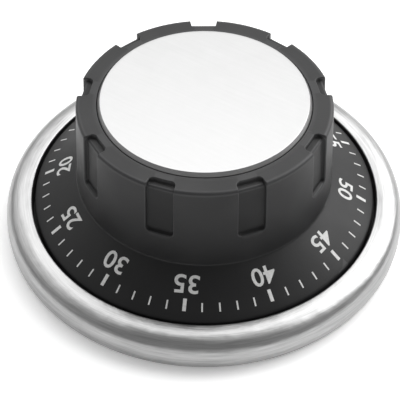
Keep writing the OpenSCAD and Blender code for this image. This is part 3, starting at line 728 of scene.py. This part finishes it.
class TIMER_OT_cap(bpy.types.Operator):
    """Press the satin steel cap that covers the knob's top"""
    bl_idname = "timer.cap"
    bl_label = "Knob Cap"

    def execute(self, context):
        top_z, low_z, r = CAP_HIGH[2], CAP_LOW[2], CAP_HIGH[0]
        sheet, bevel, drop, soft = 0.5 * MM, 0.5 * MM, 0.7 * MM, 0.12 * MM
        steel = satin_steel("satin stainless sheet", list(colours().cap), 0.34)
        edge = blend_arc((0, top_z), (r - bevel, top_z), (r, top_z - drop), soft, 5)
        edge += blend_arc((r - bevel, top_z), (r, top_z - drop), (r, low_z), soft, 5)
        flat = [((r - 2 * bevel) * i / ARC_STEPS, top_z) for i in range(ARC_STEPS + 1)]
        under = [(r, low_z), (r - sheet, low_z), (r - sheet, top_z - 2 * sheet),
                 (r - 1.5 * sheet, top_z - sheet), (0.0, top_z - sheet)]
        cap = lathe("steel_cap", flat + edge + under, steel)
        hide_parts("knob_cap")
        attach(cap, "dial")
        return {"FINISHED"}


# ---- print on the dial ----

def dial_angle(s, minute):
    """Angle of a minute: zero at +Y, counting anticlockwise from above."""
    return TAU / 4 + TAU * minute / s.divisions


def tick_tree(ink):
    """A ring of flat bars on the slope, every fifth one longer and wider."""
    tree, entry, out = node_tree("ring of ticks", [
        ("Count", "Int"), ("Step", "Float"), ("Start", "Float"), ("Outer Radius", "Float"),
        ("Height", "Float"), ("Slope", "Float"), ("Minute Size", "Vector"), ("Five Size", "Vector")])
    source = entry.outputs
    dots = add_node(tree, "GeometryNodeMeshLine", {"Count": source["Count"], "Offset": (0, 0, 0)})
    index = add_node(tree, "GeometryNodeInputIndex").outputs[0]
    turn = add_node(tree, "ShaderNodeMath", {0: index, 1: source["Step"], 2: source["Start"]},
                    operation="MULTIPLY_ADD").outputs[0]
    spin = add_node(tree, "ShaderNodeCombineXYZ", {1: source["Slope"], 2: turn}).outputs[0]
    reach = add_node(tree, "ShaderNodeCombineXYZ", {0: source["Outer Radius"]}).outputs[0]
    round_z = add_node(tree, "ShaderNodeVectorRotate", {"Vector": reach, "Angle": turn},
                       rotation_type="Z_AXIS").outputs[0]
    lift = add_node(tree, "ShaderNodeCombineXYZ", {2: source["Height"]}).outputs[0]
    place = add_node(tree, "ShaderNodeVectorMath", {0: round_z, 1: lift}, operation="ADD").outputs[0]
    placed = add_node(tree, "GeometryNodeSetPosition", {"Geometry": dots.outputs[0],
                                                        "Position": place})
    left_over = add_node(tree, "ShaderNodeMath", {0: index, 1: NUMERAL_STEP},
                         operation="MODULO").outputs[0]
    is_five, is_minute = (
        add_node(tree, "ShaderNodeMath", {0: left_over, 1: 0.5}, operation=test).outputs[0]
        for test in ("LESS_THAN", "GREATER_THAN"))
    join = add_node(tree, "GeometryNodeJoinGeometry")
    for size, chosen in ((source["Minute Size"], is_minute), (source["Five Size"], is_five)):
        bar = add_node(tree, "GeometryNodeMeshCube", {"Size": size}).outputs[0]
        back = add_node(tree, "ShaderNodeVectorMath", {0: size, 1: (-0.5, 0, 0)},
                        operation="MULTIPLY").outputs[0]
        moved = add_node(tree, "GeometryNodeTransform", {"Geometry": bar, "Translation": back})
        copies = add_node(tree, "GeometryNodeInstanceOnPoints", {
            "Points": placed.outputs[0], "Selection": chosen, "Instance": moved.outputs[0],
            "Rotation": spin})
        tree.links.new(copies.outputs[0], join.inputs[0])
    real = add_node(tree, "GeometryNodeRealizeInstances", {0: join.outputs[0]})
    finish = add_node(tree, "GeometryNodeSetMaterial", {"Geometry": real.outputs[0],
                                                        "Material": ink})
    tree.links.new(finish.outputs[0], out.inputs[0])
    return tree


def on_dial(s, middle_angle, x, y, lift):
    """A point of flat print, x to the right and y outwards, rolled onto the sloping dial."""
    tilt = math.atan(knob_sizes(s)["slope"])
    apex = s.numeral_radius / math.cos(tilt)
    reach = math.hypot(x, apex + y)
    swing = math.atan2(x, apex + y) / math.cos(tilt)
    r = reach * math.cos(tilt) + lift * math.sin(tilt)
    z = cone_height(s, reach * math.cos(tilt)) + lift * math.cos(tilt)
    angle = middle_angle - swing
    return (r * math.cos(angle), r * math.sin(angle), z)


def numeral_mesh(text):
    """A numeral as a slab in its own plane, one unit thick."""
    curve = bpy.data.curves.new("numeral", "FONT")
    curve.body = text
    curve.resolution_u = 4
    curve.offset = 0.014  # a little bolder than the font
    curve.extrude = 0.5  # to each side
    held = bpy.data.objects.new("numeral", curve)
    bpy.context.scene.collection.objects.link(held)
    mesh = bpy.data.meshes.new_from_object(held.evaluated_get(bpy.context.evaluated_depsgraph_get()))
    bpy.data.objects.remove(held)
    return mesh


class TIMER_OT_print(bpy.types.Operator):
    """Print the minute ticks and the numerals on the sloping dial"""
    bl_idname = "timer.print"
    bl_label = "Ticks and Numerals"

    def execute(self, context):
        s = shape()
        ink = printed_ink("pad-printed ink", list(colours().print_ink))
        tilt = math.atan(knob_sizes(s)["slope"])
        stretch = 1 / math.cos(tilt)
        ticks = mesh_object("minute_ticks", [], [])
        applied(ticks, tick_tree(ink), {
            "Count": s.minutes + 1, "Step": TAU / s.divisions, "Start": dial_angle(s, 0),
            "Outer Radius": s.tick_radius, "Height": cone_height(s, s.tick_radius), "Slope": tilt,
            "Minute Size": (s.tick_length * stretch, s.tick_width, PRINT_DEPTH),
            "Five Size": (s.five_length * stretch, s.five_width, PRINT_DEPTH)})
        self.finish(ticks)

        points, faces = [], []
        for minute in range(0, s.minutes, NUMERAL_STEP):
            flat = numeral_mesh(str(minute))
            self.place(s, flat, minute, points, faces)
            bpy.data.meshes.remove(flat)
        numerals = outward(mesh_object("numerals", points, faces, ink, smooth=False))
        self.finish(numerals)
        return {"FINISHED"}

    def place(self, s, flat, minute, points, faces):
        """Sizes a numeral, lays it on the dial and adds it to the points and faces."""
        one_digit = 0.46  # its width as a share of two digits
        xs = [v.co.x for v in flat.vertices]
        ys = [v.co.y for v in flat.vertices]
        high = s.numeral_height / (max(ys) - min(ys))
        full = s.numeral_width if minute > 9 else s.numeral_width * one_digit
        wide = full / (max(xs) - min(xs))
        mid_x, mid_y = (max(xs) + min(xs)) / 2, (max(ys) + min(ys)) / 2
        start = len(points)
        points += [on_dial(s, dial_angle(s, minute), (v.co.x - mid_x) * wide,
                           (v.co.y - mid_y) * high, v.co.z * PRINT_DEPTH) for v in flat.vertices]
        faces += [[start + i for i in face.vertices] for face in flat.polygons]

    def finish(self, piece):
        """Prints hang under the dial's body, so they turn with the dial."""
        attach(piece, "dial")


# ---- base, cover and the movement's finishes ----

class TIMER_OT_finishes(bpy.types.Operator):
    """Give the base, the feet and every part of the movement its own finish"""
    bl_idname = "timer.finishes"
    bl_label = "Base and Movement Finishes"

    def execute(self, context):
        finishes = {
            "base_plastic": moulded_plastic("grained base ABS", hex_linear("#1B1B1C"), 0.5, 0.2, 0.02),
            "ferrite": dusty_black("sintered ferrite", "#3A3A3C"),
            "feet_rubber": dusty_black("foot rubber", "#161616"),
            "mark_paint": printed_ink("enamel mark", hex_linear("#151515")),
            "bell_steel": movement_metal("nickel-plated bell steel", "#C9C7C2", 0.15, 0.4),
            "plate_brass": movement_metal("rolled plate brass", "#B8974F", 0.3, 0.3),
            "wheel_brass": movement_metal("stamped wheel brass", "#C8A658", 0.22, 0.15),
            "movement_steel": movement_metal("turned arbor steel", "#A6A6A8", 0.2, 0.1),
            "spring_steel": movement_metal("blued spring steel", "#3C4A66", 0.25, 0.2),
            "screw_steel": movement_metal("zinc-plated screws", "#B9BBBE", 0.28, 0.2),
        }
        for row in frame["record"]["subparts"]:
            if row["material_slot"] in finishes:
                held = frame["nodes"][row["node"]]
                held.data.materials.clear()
                held.data.materials.append(finishes[row["material_slot"]])
        return {"FINISHED"}


# ---- stage ----

def direction(azimuth, elevation):
    """Unit vector towards a place round the timer; azimuth 0 is at -Y."""
    return Vector((math.sin(azimuth) * math.cos(elevation), -math.cos(azimuth) * math.cos(elevation),
                   math.sin(elevation)))


def look_along(back):
    """Upright rotation of a camera or light whose view runs against back."""
    right = Vector((0, 0, 1)).cross(back).normalized()
    return Matrix((right, back.cross(right), back)).transposed()


class TIMER_OT_stage(bpy.types.Operator):
    """Set the floor, the soft studio light and the camera"""
    bl_idname = "timer.stage"
    bl_label = "Stage"

    def execute(self, context):
        setup = context.scene.timer_stage
        self.floor()
        self.lights(setup)
        self.world(setup)
        self.camera(context, setup)
        context.scene.view_settings.view_transform = "Standard"
        return {"FINISHED"}

    def floor(self):
        """A floor that reaches the horizon, and glows a little so that it stays white."""
        half = 30.0
        material, _, shader = new_material("matt white paper")
        shader.inputs["Base Color"].default_value = colours().floor
        shader.inputs["Roughness"].default_value = 0.9
        shader.inputs["Emission Color"].default_value = (1, 1, 1, 1)
        shader.inputs["Emission Strength"].default_value = 0.26
        floor = mesh_object("floor", [(-half, -half, 0), (half, -half, 0), (half, half, 0),
                                      (-half, half, 0)], [(0, 1, 2, 3)], material, smooth=False)

    def lights(self, setup):
        """A large softbox to the right and a weaker one high behind."""
        middle = Vector((0, 0, KNOB_HIGH[2] / 2))
        away = 1.2
        # degrees round from the camera, degrees up, metres wide, watts
        for name, turn, height, size, power in (
                ("key softbox", 124, 40, 0.9, 9.5),
                ("back softbox", -168, 58, 0.8, 2.8)):
            data = bpy.data.lights.new(name, "AREA")
            data.shape = "SQUARE"
            data.size = size
            data.energy = power
            held = bpy.data.objects.new(name, data)
            bpy.context.scene.collection.objects.link(held)
            back = direction(setup.azimuth + math.radians(turn), math.radians(height))
            held.matrix_world = Matrix.Translation(middle + back * away) @ look_along(back).to_4x4()

    def world(self, setup):
        """A white studio wall behind the timer, dim overhead and on the near side."""
        wall_turn = math.radians(174)
        dim, bright = 0.29, 1.55
        world = bpy.data.worlds.new("studio")
        bpy.context.scene.world = world
        world.use_nodes = True
        tree = world.node_tree
        tree.nodes.clear()
        way = add_node(tree, "ShaderNodeTexCoord").outputs["Generated"]
        high = add_node(tree, "ShaderNodeSeparateXYZ", {0: way}).outputs[2]
        flat = add_node(tree, "ShaderNodeVectorMath", {0: way, 1: (1, 1, 0)},
                        operation="MULTIPLY").outputs[0]
        level = add_node(tree, "ShaderNodeVectorMath", {0: flat}, operation="NORMALIZE").outputs[0]
        facing = add_node(tree, "ShaderNodeVectorMath", {
            0: level, 1: direction(setup.azimuth + wall_turn, 0),
        }, operation="DOT_PRODUCT").outputs["Value"]
        behind = add_node(tree, "ShaderNodeMapRange", {
            "Value": facing, "From Min": -0.35, "From Max": 0.6}, interpolation_type="SMOOTHSTEP")
        below_top = add_node(tree, "ShaderNodeMapRange", {
            "Value": high, "From Min": 1.0, "From Max": 0.92}, interpolation_type="SMOOTHSTEP")
        above_table = add_node(tree, "ShaderNodeMapRange", {
            "Value": high, "From Min": 0.2, "From Max": 0.5}, interpolation_type="SMOOTHSTEP")
        band = add_node(tree, "ShaderNodeMath", {
            0: below_top.outputs[0], 1: above_table.outputs[0]}, operation="MULTIPLY")
        wall = add_node(tree, "ShaderNodeMath", {
            0: behind.outputs[0], 1: band.outputs[0]}, operation="MULTIPLY")
        strength = add_node(tree, "ShaderNodeMapRange", {
            "Value": wall.outputs[0], "To Min": dim, "To Max": bright})
        glow = add_node(tree, "ShaderNodeBackground", {
            "Color": (1, 1, 1, 1), "Strength": strength.outputs[0]})
        add_node(tree, "ShaderNodeOutputWorld", {"Surface": glow.outputs[0]})

    def camera(self, context, setup):
        """Stands the camera so that the dial's middle falls at its place in the frame."""
        data = bpy.data.cameras.new("camera")
        data.lens = setup.lens
        data.sensor_width = SENSOR_MM
        data.clip_start = 0.01
        held = bpy.data.objects.new("camera", data)
        context.scene.collection.objects.link(held)
        dial_height = 8.0 * MM
        middle = Vector((0, 0, dial_height))
        back = direction(setup.azimuth, setup.elevation)
        frame_wide = SENSOR_MM / setup.lens
        ray = Vector((setup.offset_right * frame_wide, setup.offset_up * frame_wide, -1))
        swing = Vector((0, 0, -1)).rotation_difference(ray.normalized()).to_matrix()
        turn = look_along(back) @ Matrix.Rotation(setup.roll, 3, "Z") @ swing.transposed()
        held.matrix_world = Matrix.Translation(middle + back * setup.distance) @ turn.to_4x4()
        context.scene.camera = held


# ---- add-on ----

OPERATORS = (TIMER_OT_stage, TIMER_OT_steel_ring, TIMER_OT_dial_knob, TIMER_OT_cap, TIMER_OT_print,
             TIMER_OT_finishes)


class TIMER_PT_panel(bpy.types.Panel):
    """Sidebar panel with one button for each group of pieces"""
    bl_idname = "TIMER_PT_panel"
    bl_label = "Kitchen Timer"
    bl_space_type = "VIEW_3D"
    bl_region_type = "UI"
    bl_category = "Timer"

    def draw(self, context):
        for operator in OPERATORS:
            self.layout.operator(operator.bl_idname)


CLASSES = (TimerShape, TimerColours, StageSetup) + OPERATORS + (TIMER_PT_panel,)


def register():
    """Adds the classes and their settings."""
    for kind in CLASSES:
        bpy.utils.register_class(kind)
    bpy.types.Scene.timer_shape = PointerProperty(type=TimerShape)
    bpy.types.Scene.timer_colours = PointerProperty(type=TimerColours)
    bpy.types.Scene.timer_stage = PointerProperty(type=StageSetup)


def unregister():
    """Takes the settings and the classes away again."""
    del bpy.types.Scene.timer_stage
    del bpy.types.Scene.timer_colours
    del bpy.types.Scene.timer_shape
    for kind in reversed(CLASSES):
        bpy.utils.unregister_class(kind)


def main():
    """Builds the stage and every piece."""
    register()
    bpy.ops.timer.stage()
    bpy.ops.timer.steel_ring()
    bpy.ops.timer.dial_knob()
    bpy.ops.timer.cap()
    bpy.ops.timer.print()
    bpy.ops.timer.finishes()


if __name__ == "__main__":
    main()
